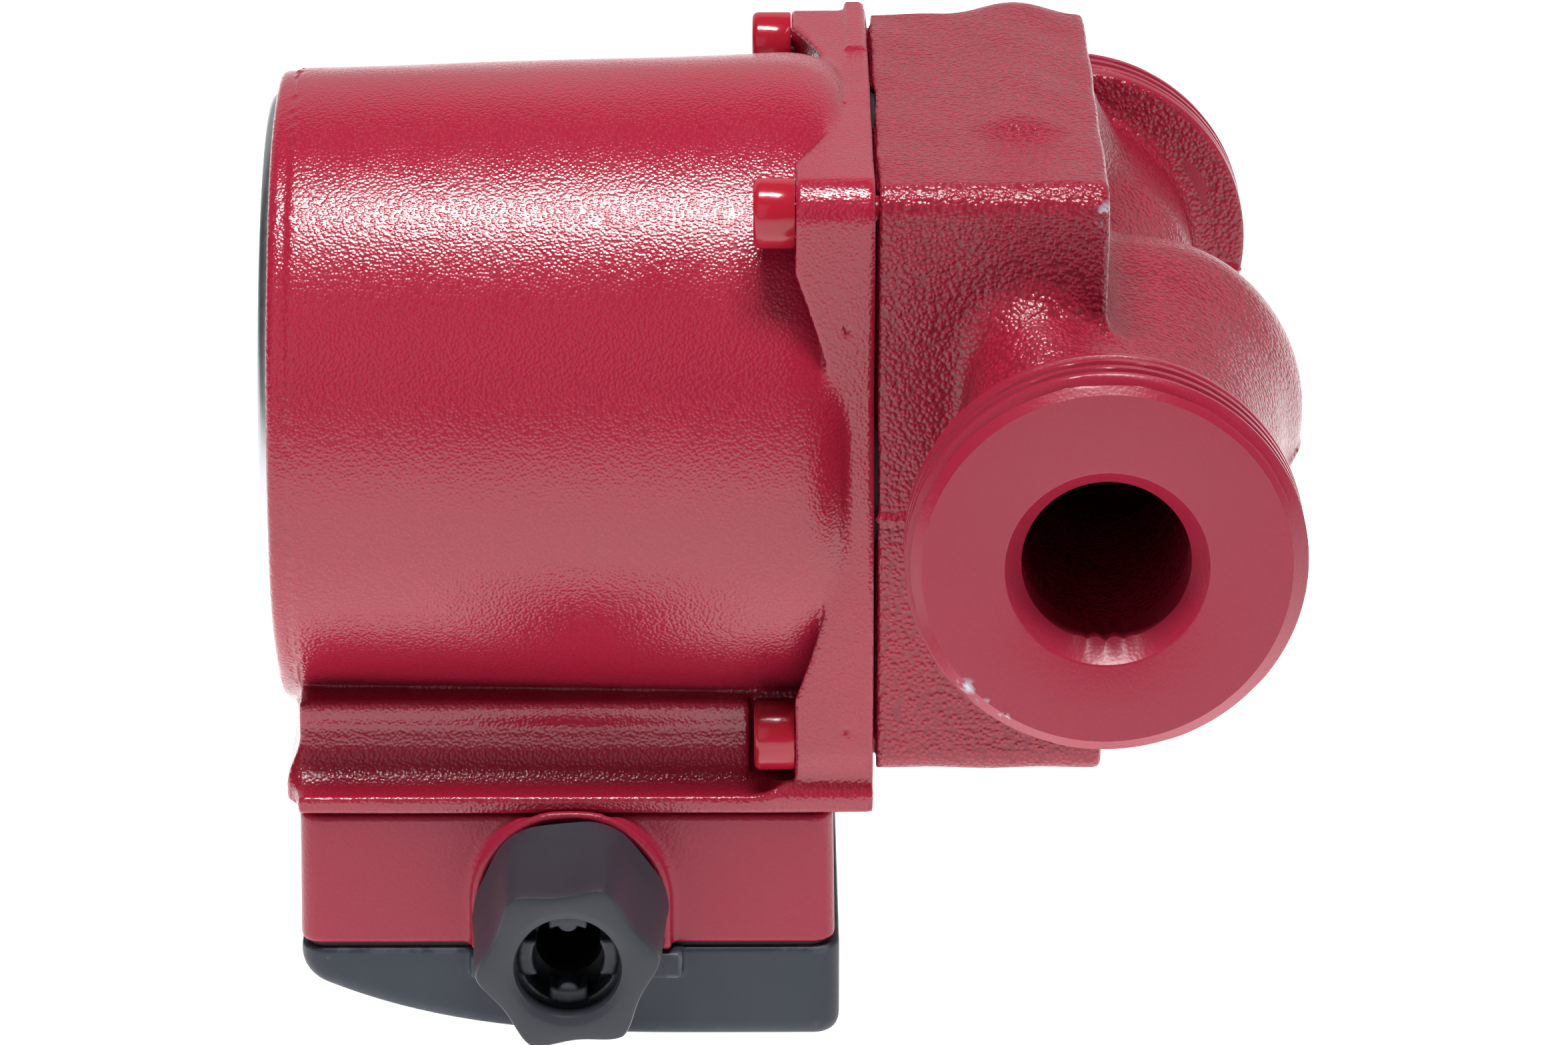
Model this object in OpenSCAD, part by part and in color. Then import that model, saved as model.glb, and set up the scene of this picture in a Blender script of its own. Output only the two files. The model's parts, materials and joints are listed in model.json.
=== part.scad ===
// Wet-rotor circulator pump: threaded volute, canned motor and terminal box.
// +Z is up, X is the shaft axis (the volute is at the +X end), Y is the pipe axis.
// The origin is the centre of the inlet port's gasket face, which looks along -Y.

/* [Ports] */
// Distance between the two gasket faces
port_span = 130; // [120:1:180]
// Outer diameter of the pipe thread on each port
thread_d = 47.8; // [44:0.1:52]
// Length of each threaded collar
collar_len = 10; // [8:0.5:12]
// Diameter of the waterway in each port
bore_d = 20.2; // [16:0.1:22]
// Diameter of the waterway's chamfer at the gasket face
bore_mouth_d = 24.6; // [23:0.1:28]
// Outer diameter of the neck behind each collar
neck_d = 36; // [30:0.5:40]

/* [Volute] */
// Side of the square volute block and of the motor's flange
block_side = 77; // [74:0.5:80]
// Depth of the volute block along the shaft
block_depth = 27.6; // [26:0.1:32]
// Radius of the block's corners
block_corner_r = 5; // [3:0.5:8]
// Radius of the suction elbow's bulge
elbow_r = 21; // [18:0.5:23]
// Diameter of the impeller chamber
chamber_d = 66; // [62:0.5:68]

/* [Motor] */
// Distance from the pipe axis to the flange joint
joint_offset = 27; // [26:0.5:30]
// Length of the motor housing from the flange joint to its rim
motor_len = 73.8; // [70:0.1:80]
// Diameter of the motor housing at its rim
motor_rim_d = 79.4; // [78:0.2:81]
// Diameter of the motor housing near the flange
motor_root_d = 83.4; // [82:0.2:85]
// Diameter of the housing's bore
motor_bore_d = 74; // [70:0.5:75]
// Distance from the shaft axis to each flange screw, along Y and along Z
screw_offset = 34; // [33:0.1:35]
// Diameter of a flange screw's head
screw_head_d = 8.5; // [8:0.1:9]
// Diameter of the rotor shaft
shaft_d = 6; // [5:0.5:8]
// Diameter of the impeller
impeller_d = 58; // [50:1:60]
// Number of impeller blades
blade_count = 6; // [5:1:8]

/* [Terminal box] */
// Length of the box along the shaft
box_len = 66.4; // [60:0.2:70]
// Width of the box across the shaft
box_width = 75; // [70:0.5:77]
// Height of the box without its cover
box_height = 17.2; // [16:0.2:20]
// Height of the cover at its deep end
cover_height = 12.4; // [10:0.2:16]
// Wall of the box and the cover
box_wall = 2.4; // [2:0.1:3]
// Diameter across the corners of the cable gland's nut, at its back
gland_nut_d = 24.6; // [23:0.2:26]
// Length of the cable gland's nut
gland_nut_len = 19; // [16:0.5:22]
// Diameter of the cable that the gland holds
cable_d = 8; // [6:0.2:9]
// Diameter of the speed selector knob
knob_d = 18; // [14:0.5:20]

/* [Hidden] */
$fn = 96;
EPS = 0.01;
RUN = 0.05;        // radial running clearance of the bearings
GAP = 0.4;         // width of the open joints between castings
half_span = port_span / 2;
half_side = block_side / 2;
port_chamfer = 1.95;
mouth_depth = 2.7;

x_joint = -joint_offset;
x_block = x_joint + GAP;
x_back = x_block + block_depth;
x_rim = x_joint - motor_len;
x_seat = x_joint - 9.7;          // face that the screw heads sit on
x_plate = x_joint - 4.5;         // thinnest part of the flange
pad_x0 = x_joint - 71;
z_pad = -42.9;                   // underside of the pedestal
pad_half_y = 38;
box_x0 = x_joint - 71.1;
box_x1 = box_x0 + box_len;
box_mid_x = (box_x0 + box_x1) / 2;
box_half_y = box_width / 2;
z_box_top = z_pad - GAP;
z_box_low = z_box_top - box_height;
z_cover_top = z_box_low - 0.6;
z_cover_low = z_cover_top - cover_height;
gland_x = -64.4;
gland_z = -54.3;
arch_r = 12.4;
y_arch = -box_half_y - 2;
boss_r = 9.8;                    // round boss that carries the gland on below the box's edge
y_nut_back = y_arch - 0.5;
y_nut_front = y_nut_back - gland_nut_len;

shaft_r = shaft_d / 2;
can_r = 19.5;
can_wall = 0.4;
stator_x0 = -80;
stator_x1 = -44;
bush_r = 7;
eye_r = 10.4;
impeller_r = impeller_d / 2;
x_impeller = x_joint + 2.5;      // motor side of the impeller's back plate
back_plate_t = 2;
blade_h = 4.2;
x_shroud = x_impeller + back_plate_t + blade_h;
chamber_x1 = x_joint + 14;       // back wall of the impeller chamber
partition_x1 = chamber_x1 + 4;   // other side of the wall that holds the neck ring
ring_outer_r = 15;
neck_r = 12.2;                   // outside of the impeller's suction neck
vent_bore_r = 5;
x_can_back = -88;
x_can_end = -97;
cover_post = [-88, 22];          // place of the cover's screw, in X and Y
knob_at = [-46, 12];             // place of the selector knob, in X and Y
pedestal_screws = [for (x = [-90, -40], y = [-30, 30]) [x, y]];
terminal_pitch = 9;
terminal_count = 3;

RED = "firebrick";

// The pump's own modules work from the point where the shaft and pipe axes cross.
module at_centre() { translate([0, half_span, 0]) children(); }

// Turns a shape drawn in XY and raised along Z into one drawn in YZ and raised along X.
module along_x(x) { translate([x, 0, 0]) rotate([90, 0, 90]) children(); }

// Turns a shape raised along Z into one raised along +Y, from the plane y.
module along_y(y) { translate([0, y, 0]) rotate([-90, 0, 0]) children(); }

// Cylinder or cone on the shaft axis from x0 to x1.
module x_cyl(x0, x1, r0, r1 = -1) { along_x(x0) cylinder(h = x1 - x0, r1 = r0, r2 = r1 < 0 ? r0 : r1); }

// Ring on the shaft axis from x0 to x1.
module x_ring(x0, x1, r_out, r_in) {
  difference() {
    x_cyl(x0, x1, r_out);
    x_cyl(x0 - 1, x1 + 1, r_in);
  }
}

// Solid of revolution round the shaft axis; each point is [radius, x].
module x_lathe(points) { rotate([90, 0, 90]) rotate_extrude() polygon(points); }

module box_between(low, high) { translate(low) cube(high - low); }

module rounded_rect(w, h, r) {
  square([w - 2 * r, h], center = true);
  square([w, h - 2 * r], center = true);
  for (x = [-1, 1], y = [-1, 1])
    translate([x * (w / 2 - r), y * (h / 2 - r)]) circle(r);
}

module at_flange_screws() {
  for (y = [-1, 1], z = [-1, 1])
    translate([0, y * screw_offset, z * screw_offset]) children();
}

// ---- Wet end ----

module port_outside(side) {
  mirror([0, side > 0 ? 1 : 0, 0]) {
    along_y(-half_span) cylinder(h = port_chamfer, r1 = thread_d / 2 - port_chamfer, r2 = thread_d / 2);
    along_y(-half_span + port_chamfer) cylinder(h = collar_len - port_chamfer, r = thread_d / 2);
    along_y(-half_span + collar_len - 1) cylinder(h = half_span - collar_len - 25, r = neck_d / 2);
  }
}

module port_waterway(side, depth) {
  mirror([0, side > 0 ? 1 : 0, 0]) {
    along_y(-half_span - EPS) cylinder(h = mouth_depth, r1 = bore_mouth_d / 2, r2 = bore_d / 2);
    along_y(-half_span) cylinder(h = depth, r = bore_d / 2);
  }
}

// The bulge is centred a little towards the inlet and behind the pipe axis.
module suction_elbow() {
  translate([6, -8, 0]) sphere(elbow_r, $fn = 64);
  elbow_len = half_side - 9.5;
  translate([3, 0, 0]) along_y(-elbow_len - 8)
    cylinder(h = elbow_len, r1 = neck_d / 2 + 0.6, r2 = elbow_r - 1);
  x_cyl(x_back - 6, 6, elbow_r);
}

// Swelling of the outlet passage, which leaves high on the block and drops to the port.
module outlet_swelling() {
  translate([-10, 0, 27.6]) along_y(6) cylinder(h = 25, r1 = 9, r2 = 11.4);
  translate([-10, 31, 27.6]) sphere(11.8, $fn = 48);
  translate([-8.5, 31, 24]) rotate([-90 - 41, 0, 0]) rotate([0, 14, 0]) cylinder(h = 30, r1 = 12, r2 = 14);
}

// Passage from the chamber's edge, along the swelling, to the outlet port's throat.
module outlet_passage() {
  passage_r = 7.5;
  translate([-17.5, 4, 24]) rotate([-90, 0, -16]) cylinder(h = 28, r = passage_r);
  translate([-9.8, 31, 24]) sphere(passage_r + 0.4, $fn = 48);
  translate([-9.8, 31, 24]) rotate([-131, 0, 0]) rotate([0, 14, 0]) cylinder(h = 18.5, r = passage_r);
}

module volute_block() {
  along_x(x_block) linear_extrude(block_depth) rounded_rect(block_side - 1, block_side - 1, block_corner_r);
  x_cyl(x_block, x_back + 1.2, half_side - 3);
}

module pump_housing() {
  color(RED) at_centre() difference() {
    union() {
      volute_block();
      port_outside(-1);
      port_outside(1);
      suction_elbow();
      outlet_swelling();
    }
    x_cyl(x_block - 1, chamber_x1, chamber_d / 2);
    x_cyl(chamber_x1 - 1, partition_x1, ring_outer_r);
    x_cyl(partition_x1 - 1, 6, eye_r);
    translate([6, -8, 0]) sphere(14, $fn = 48);
    along_y(-22) cylinder(h = 14, r = 12);
    port_waterway(-1, half_span - 20);
    port_waterway(1, half_span - 48);
    along_y(36.5) cylinder(h = 3.5, r1 = 8, r2 = 12);
    along_y(40 - EPS) cylinder(h = 10, r = 12);
    outlet_passage();
    x_ring(x_block - 1, x_block + 0.6, 37, 34.5);
    at_flange_screws() x_cyl(x_block - 1, x_block + 16, 2.2);
  }
}

module neck_ring() {
  color("gainsboro") at_centre() x_ring(chamber_x1, partition_x1, ring_outer_r, neck_r + 0.35);
}

module impeller_blades() {
  arc_centre = 16;
  arc_r = 14;
  blade_t = 1.5;
  for (k = [0 : blade_count - 1])
    along_x(x_impeller + back_plate_t - EPS) rotate([0, 0, k * 360 / blade_count])
      translate([arc_centre, 0, 0]) rotate([0, 0, 44])
        rotate_extrude(angle = 92) translate([arc_r - blade_t / 2, 0]) square([blade_t, blade_h]);
}

module impeller() {
  color("gray") at_centre() {
    difference() {
      union() {
        x_cyl(x_impeller, x_impeller + back_plate_t, impeller_r);
        x_cyl(x_impeller, x_impeller + back_plate_t + 5, 5.5);
      }
      x_cyl(x_impeller - 1, x_impeller + 20, shaft_r);
    }
    impeller_blades();
  }
}

module impeller_shroud() {
  color("darkgray") at_centre() difference() {
    union() {
      x_cyl(x_shroud, x_shroud + 1.6, impeller_r);
      x_cyl(x_shroud, partition_x1 - 1, neck_r);
    }
    x_cyl(x_shroud - 1, partition_x1, eye_r);
  }
}

module housing_gasket() {
  color("black") at_centre() x_ring(x_joint - 1, x_block + 0.6, 36.8, 34.7);
}

// ---- Wet rotor ----

module shaft() {
  color("silver") at_centre() x_lathe([[0, -93], [shaft_r - 0.4, -93], [shaft_r, -92.6],
    [shaft_r, x_impeller + 7.6], [shaft_r - 0.4, x_impeller + 8], [0, x_impeller + 8]]);
}

module rotor_core() {
  color("slategray") at_centre() x_ring(stator_x0 + 2, stator_x1 + 1, can_r - can_wall - 0.4, shaft_r);
}

module thrust_bearing() {
  color("dimgray") at_centre() x_ring(-41.5, -37.6, 8, shaft_r);
}

module front_bearing() {
  color("ivory") at_centre() x_ring(-36.6, -30, bush_r, shaft_r + RUN);
}

module rear_bearing() {
  color("ivory") at_centre() x_ring(-92, -86, bush_r, shaft_r + RUN);
}

module bearing_plate() {
  color("silver") at_centre() difference() {
    union() {
      x_cyl(x_joint - 2.4, x_joint - 1, 36.8);
      x_cyl(-37, x_joint - 1, bush_r + 1.6);
    }
    x_cyl(-36.6, x_joint + 1, bush_r);
    x_cyl(-38, -36, shaft_r + 0.6);
    for (a = [45 : 90 : 315])
      rotate([a, 0, 0]) translate([0, 13, 0]) x_cyl(-40, x_joint + 1, 1.2);
  }
}

module rotor_can() {
  color("silver") at_centre() difference() {
    union() {
      x_cyl(x_can_back, x_joint - 3, can_r);
      x_cyl(x_joint - 2.9, x_joint - 2.4, 30);
      x_cyl(x_joint - 3.5, x_joint - 2.5, can_r);
      x_cyl(x_can_end, x_can_back + 1, bush_r + 1.4);
    }
    x_cyl(x_can_back + can_wall, x_joint + 1, can_r - can_wall);
    x_cyl(-92, x_can_back + 1, bush_r);
    x_cyl(x_can_end - 1, -91, vent_bore_r);
  }
}

module can_seal() {
  color("black") at_centre() x_ring(x_joint - 3, x_joint - 2.4, 32.6, 30.2);
}

// ---- Motor ----

// Body with its drafted side, the stepped rim band and the shoulder before the flange.
module motor_shell() {
  rim_r = motor_rim_d / 2;
  root_r = motor_root_d / 2;
  x_lathe([[0, x_rim], [rim_r - 1.2, x_rim], [rim_r - 0.3, x_rim + 0.7], [rim_r - 0.1, x_rim + 2.4],
    [rim_r + 0.2, x_rim + 2.8], [root_r, x_seat - 2], [root_r - 0.5, x_seat + 2], [root_r - 3, x_plate + 0.5],
    [root_r - 3, x_joint], [0, x_joint]]);
}

module motor_flange() {
  intersection() {
    along_x(x_seat) linear_extrude(x_joint - x_seat) rounded_rect(block_side, block_side, block_corner_r);
    x_lathe([[0, x_joint], [60, x_joint], [60, x_seat], [47, x_seat], [half_side, x_plate], [0, x_plate]]);
  }
}

module pedestal() {
  top = -30.6;
  ledge_y = 31.5;
  lip_z = -40.4;
  cove = [for (k = [0 : 6]) let (a = k * 15)
    [ledge_y + (pad_half_y - ledge_y) * (1 - cos(a)), top + (lip_z - top) * sin(a)]];
  right = concat([[24, -26], [ledge_y - 2, top + 0.8]], cove, [[pad_half_y, z_pad]]);
  left = [for (i = [len(right) - 1 : -1 : 0]) [-right[i][0], right[i][1]]];
  along_x(pad_x0) linear_extrude(x_joint - pad_x0) polygon(concat(right, left));
}

module motor_housing() {
  color(RED) at_centre() difference() {
    union() {
      motor_shell();
      motor_flange();
      pedestal();
    }
    x_cyl(x_rim - 1, x_joint - 7, motor_bore_d / 2);
    x_cyl(x_joint - 8, x_joint + 1, 33);
    x_cyl(x_joint - 2.4, x_joint + 1, 37);
    at_flange_screws() x_cyl(x_seat - 9, x_seat, screw_head_d / 2 + 1.1);
    at_flange_screws() x_cyl(x_seat - 1, x_joint + 1, 2.7);
    for (p = pedestal_screws) translate([p[0], p[1], z_pad - 1]) cylinder(h = 7, r = 1.6);
    translate([-64, 0, z_pad - 1]) cylinder(h = 12, r = 8);
  }
}

module stator_core() {
  color("lightslategray") at_centre() difference() {
    x_ring(stator_x0, stator_x1, motor_bore_d / 2, can_r + 0.1);
    for (k = [0 : 11]) rotate([k * 30, 0, 0])
      box_between([stator_x0 - 1, -2.2, 21.5], [stator_x1 + 1, 2.2, 31]);
  }
}

module stator_winding() {
  color("peru") at_centre() {
    for (x = [stator_x0 - 7, stator_x1])
      x_lathe([[23, x + 0.02], [31.5, x + 0.02], [32.5, x + 2], [32.5, x + 5], [31.5, x + 6.98],
        [23, x + 6.98], [22, x + 5], [22, x + 2]]);
    for (k = [0 : 11]) rotate([k * 30, 0, 0])
      box_between([stator_x0 - 1, -2, 22.5], [stator_x1 + 1, 2, 30.5]);
  }
}

// Plate pressed in the housing's mouth, dished in the middle round the vent screw.
module end_plate() {
  plate_r = motor_bore_d / 2;
  color("silver") at_centre() x_lathe([[vent_bore_r + 0.3, x_rim + 0.7], [13, x_rim + 0.7],
    [17, x_rim - 0.3], [plate_r - 4, x_rim - 1.1], [plate_r - 1, x_rim - 1.1], [plate_r, x_rim - 0.2],
    [plate_r, x_rim + 3], [plate_r - 1, x_rim + 3], [plate_r - 1, x_rim + 0.2], [plate_r - 4, x_rim],
    [17, x_rim + 0.8], [13, x_rim + 1.8], [vent_bore_r + 0.3, x_rim + 1.8]]);
}

module vent_screw() {
  head_x = x_rim + 0.3;
  head_t = 1.1;
  color("gainsboro") at_centre() difference() {
    x_lathe([[0, head_x - head_t], [6.9, head_x - head_t], [7.5, head_x - head_t + 0.5], [7.5, head_x],
      [vent_bore_r - RUN, head_x], [vent_bore_r - RUN, -95.5], [vent_bore_r - 0.8, -94.6], [0, -94.6]]);
    box_between([head_x - 2, -8, -0.8], [head_x - 0.4, 8, 0.8]);
  }
}

module vent_seal() {
  color("black") at_centre() x_ring(x_rim + 0.3, x_rim + 0.7, 7.2, vent_bore_r + 0.3);
}

// Socket cap screws from the motor side into the volute.
module flange_screws() {
  color(RED) at_centre() at_flange_screws() difference() {
    union() {
      x_lathe([[0, x_seat - 5], [screw_head_d / 2 - 0.5, x_seat - 5], [screw_head_d / 2, x_seat - 4.5],
        [screw_head_d / 2, x_seat], [0, x_seat]]);
      x_cyl(x_seat - 1, x_block + 14, 2.2);
    }
    along_x(x_seat - 6) cylinder(h = 3.6, r = 2.3, $fn = 6);
  }
}

// ---- Terminal box ----

module box_plan(inset) {
  translate([box_mid_x, 0]) rounded_rect(box_len - 2 * inset, box_width - 2 * inset, 3 - inset / 2);
}

// Arched boss round the gland, drawn in XZ.
module arch_face(r) {
  circle(r);
  translate([-r, z_box_low - gland_z]) square([2 * r, gland_z - z_box_low]);
}

module gland_boss() {
  translate([gland_x, y_arch, gland_z]) rotate([90, 0, 0]) mirror([0, 0, 1])
    linear_extrude(5) arch_face(arch_r);
}

module terminal_box() {
  color(RED) at_centre() difference() {
    union() {
      translate([0, 0, z_box_low]) linear_extrude(box_height) box_plan(0);
      intersection() {
        gland_boss();
        union() {
          box_between([-90, -60, z_box_low], [-40, 0, z_box_top]);
          box_between([-90, -60, z_box_top - 1], [-40, -pad_half_y - 0.4, z_box_top + 1.2]);
        }
      }
      translate([gland_x, 0, gland_z]) along_y(y_arch) cylinder(h = 4.4, r = boss_r);
    }
    difference() {
      translate([0, 0, z_box_low - 1]) linear_extrude(box_height - box_wall + 1) box_plan(box_wall);
      translate([cover_post[0], cover_post[1], z_box_low]) cylinder(h = box_height, r = 4);
    }
    translate([cover_post[0], cover_post[1], z_box_low - 1]) cylinder(h = 11, r = 2.2);
    translate([gland_x, 0, gland_z]) along_y(y_arch - 1) cylinder(h = 8, r = 8);
    translate([-64, 0, z_box_low]) cylinder(h = 40, r = 7.5);
    for (p = pedestal_screws) translate([p[0], p[1], z_box_low]) cylinder(h = 40, r = 2.1);
  }
}

module box_gasket() {
  color("black") at_centre() difference() {
    translate([0, 0, z_box_top]) linear_extrude(GAP) box_plan(0.8);
    translate([-64, 0, z_box_top - 1]) cylinder(h = 3, r = 7.8);
    for (p = pedestal_screws) translate([p[0], p[1], z_box_top - 1]) cylinder(h = 3, r = 2.1);
  }
}

module box_screws() {
  color("silver") at_centre() for (p = pedestal_screws) translate([p[0], p[1], 0]) difference() {
    union() {
      translate([0, 0, z_box_top - box_wall - 2.4]) cylinder(h = 2.4, r = 3.4);
      translate([0, 0, z_box_top - box_wall - 1]) cylinder(h = 8, r = 1.6);
    }
    translate([-0.5, -4, z_box_top - box_wall - 3]) cube([1, 8, 1.8]);
  }
}

// Side outline of the cover in XZ: its underside rises towards the motor's rim on a cubic.
function cover_under(x, drop) = drop + 8.6 * pow(max(0, (box_x1 - 14 - x) / (box_len - 14)), 3);

module cover_solid(inset) {
  x0 = box_x0 + inset;
  x1 = box_x1 + 0.6 - inset;
  low = z_cover_low + inset;
  under = [for (k = [0 : 14]) let (x = x0 + (x1 - 1.5 - x0) * k / 14) [x, cover_under(x, low)]];
  intersection() {
    translate([0, box_half_y, 0]) rotate([90, 0, 0]) linear_extrude(box_width)
      polygon(concat([[x0, z_cover_top + inset * 0.5]], under,
        [[x1, low + 1.5], [x1, z_cover_top + inset * 0.5]]));
    translate([0.3, 0, z_cover_low - 1]) linear_extrude(cover_height + 4) translate([box_mid_x, 0])
      rounded_rect(box_len + 0.6 - 2 * inset, box_width - 2 * inset, 3);
  }
}

// Pad that carries the gland boss on down the cover's side.
module cover_pad() {
  box_between([gland_x - arch_r - 0.2, y_arch, z_cover_top - 3.4],
    [gland_x + arch_r + 1.4, -box_half_y + 1, z_cover_top]);
}

// Round-bottomed notch in the cover's wall for the box's gland boss.
module cover_notch() {
  notch_r = boss_r + 0.6;
  translate([gland_x, 0, gland_z]) along_y(y_arch - 1) cylinder(h = 7.4, r = notch_r);
  box_between([gland_x - notch_r, y_arch - 1, gland_z], [gland_x + notch_r, y_arch + 6.4, z_cover_top + 2]);
}

module terminal_cover() {
  color("dimgray") at_centre() difference() {
    union() {
      difference() {
        cover_solid(0);
        cover_solid(box_wall - 0.2);
      }
      cover_pad();
      translate([cover_post[0], cover_post[1], z_cover_low + 5.2]) cylinder(h = 6.4, r = 4);
      translate([knob_at[0], knob_at[1], z_cover_low + 1]) cylinder(h = 5, r = knob_d / 2 + 2);
    }
    cover_notch();
    translate([cover_post[0], cover_post[1], z_cover_low - 1]) cylinder(h = 30, r = 2.1);
    translate([cover_post[0], cover_post[1], z_cover_low - 1]) cylinder(h = 8.6, r = 3.8);
    translate([knob_at[0], knob_at[1], z_cover_low - 1]) cylinder(h = 30, r = 4);
    translate([knob_at[0], knob_at[1], z_cover_low - 1]) cylinder(h = 4.6, r = knob_d / 2 + 0.5);
  }
}

module cover_seal() {
  color("black") at_centre() difference() {
    translate([0, 0, z_cover_top + 0.05]) linear_extrude(0.55) box_plan(0.7);
    translate([0, 0, z_cover_top - 1]) linear_extrude(3) box_plan(box_wall + 0.4);
    cover_notch();
  }
}

module cover_screw() {
  color("silver") at_centre() translate([cover_post[0], cover_post[1], z_cover_low]) difference() {
    union() {
      translate([0, 0, 5]) cylinder(h = 2.5, r = 3.4);
      translate([0, 0, 7]) cylinder(h = 12, r = 1.8);
    }
    translate([-4, -0.5, 4.5]) cube([8, 1, 1.7]);
  }
}

module terminal_block() {
  block_z1 = z_box_top - box_wall;
  color("ivory") at_centre() difference() {
    box_between([-84, 14, block_z1 - 9], [-84 + terminal_pitch * terminal_count + 3, 28, block_z1]);
    for (k = [0 : terminal_count - 1]) {
      translate([-78 + k * terminal_pitch, 21, block_z1 - 10]) cylinder(h = 6, r = 2.4);
      translate([-78 + k * terminal_pitch, 0, block_z1 - 5]) along_y(13) cylinder(h = 16, r = 1.8);
    }
  }
}

module terminal_screws() {
  block_z1 = z_box_top - box_wall;
  color("goldenrod") at_centre() for (k = [0 : terminal_count - 1])
    translate([-78 + k * terminal_pitch, 21, block_z1 - 8.4]) difference() {
      cylinder(h = 4, r = 2.2);
      translate([-3, -0.35, -1]) cube([6, 0.7, 2]);
    }
}

module earth_screw() {
  color("goldenrod") at_centre() translate([-90, -14, z_box_top - box_wall - 3.2]) difference() {
    union() {
      cylinder(h = 2.2, r = 3.6);
      translate([0, 0, 2.2]) cylinder(h = 1, r = 4.4);
    }
    translate([-4, -0.45, -1]) cube([8, 0.9, 2]);
  }
}

module capacitor() {
  top = z_box_top - box_wall;
  color("black") at_centre() box_between([-84, -14, top - 11], [-56, -4.5, top]);
}

module speed_switch() {
  switch_z1 = z_box_top - box_wall;
  color("whitesmoke") at_centre() translate([knob_at[0], knob_at[1], 0]) difference() {
    union() {
      box_between([-6.5, -9, switch_z1 - 12], [10, 9, switch_z1]);
      translate([0, 0, z_cover_low + 9]) cylinder(h = switch_z1 - z_cover_low - 20, r = 2.6);
    }
    translate([-0.7, -3, z_cover_low + 8]) cube([1.4, 6, 2.4]);
  }
}

// Selector with a raised grip bar; its stem reaches in towards the switch.
module speed_knob() {
  color("black") at_centre() translate([knob_at[0], knob_at[1], z_cover_low]) {
    translate([0, 0, -1]) cylinder(h = 4.2, r = knob_d / 2);
    translate([-1.8, -knob_d / 2 + 1.2, -4.4]) cube([3.6, knob_d - 2.4, 4]);
    translate([0, 0, 3]) cylinder(h = 5.6, r = 3.6);
  }
}

// ---- Cable gland ----

module at_gland() { at_centre() translate([gland_x, 0, gland_z]) children(); }

// Threaded sleeve with a locknut inside the box; the locknut clears the box's roof.
module gland_body() {
  y_locknut = -box_half_y + box_wall + 0.02;
  roof = z_box_top - box_wall - gland_z;
  color("black") at_gland() difference() {
    union() {
      along_y(y_nut_back - 11) cylinder(h = 19, r = 7.95);
      along_y(y_locknut) cylinder(h = 3, r = 10.4);
    }
    along_y(y_nut_back - 12) cylinder(h = 40, r = 5.9);
    box_between([-12, y_locknut - 1, roof - 0.1], [12, y_locknut + 4, roof + 4]);
    box_between([-12, y_locknut - 1, -14], [12, y_locknut + 4, -boss_r]);
  }
}

// Fluted hexagon with round corners, slightly tapered towards the cable.
module gland_nut() {
  back_r = gland_nut_d / 2;
  flute_r = 13;
  flat = back_r * 0.83;
  color("dimgray") at_gland() rotate([0, 24, 0]) difference() {
    union() {
      along_y(y_nut_front + 1.2) cylinder(h = gland_nut_len - 1.2, r1 = back_r - 0.9, r2 = back_r);
      along_y(y_nut_front) cylinder(h = 1.2, r1 = back_r - 2, r2 = back_r - 0.9);
    }
    for (k = [0 : 5]) rotate([0, 30 + k * 60, 0])
      translate([0, 0, flat + flute_r - 0.4])
        along_y(y_nut_front - 1) cylinder(h = gland_nut_len - 1, r = flute_r);
    along_y(y_nut_front - 1) cylinder(h = gland_nut_len + 2, r = 6.3);
    along_y(y_nut_front + 3) cylinder(h = gland_nut_len, r = 8.05);
  }
}

// Collet with four fingers that close on the cable when the nut is tightened.
module gland_clamp() {
  clamp_y = y_nut_front + 3.4;
  finger_w = 4.4;
  color("black") at_gland() {
    difference() {
      along_y(clamp_y) cylinder(h = 4, r = 7.6);
      along_y(clamp_y - 1) cylinder(h = 6, r = 5.9);
    }
    intersection() {
      difference() {
        along_y(clamp_y) cylinder(h = 4, r = 6.2);
        along_y(clamp_y - 1) cylinder(h = 6, r = cable_d / 2 + 0.5);
      }
      union() {
        box_between([-finger_w / 2, clamp_y, -8], [finger_w / 2, clamp_y + 4, 8]);
        box_between([-8, clamp_y, -finger_w / 2], [8, clamp_y + 4, finger_w / 2]);
      }
    }
  }
}

module gland_seal() {
  color("black") at_gland() difference() {
    along_y(y_nut_back - 10.6) cylinder(h = 14, r = 5.85);
    along_y(y_nut_back - 12) cylinder(h = 20, r = cable_d / 2 + 0.1);
  }
}

pump_housing();
neck_ring();
impeller();
impeller_shroud();
housing_gasket();
shaft();
rotor_core();
thrust_bearing();
front_bearing();
rear_bearing();
bearing_plate();
rotor_can();
can_seal();
motor_housing();
stator_core();
stator_winding();
end_plate();
vent_screw();
vent_seal();
flange_screws();
terminal_box();
box_gasket();
box_screws();
terminal_cover();
cover_seal();
cover_screw();
terminal_block();
terminal_screws();
earth_screw();
capacitor();
speed_switch();
speed_knob();
gland_body();
gland_nut();
gland_clamp();
gland_seal();
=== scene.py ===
import json
import math
import bpy
import numpy as np
from mathutils import Matrix, Vector


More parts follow.
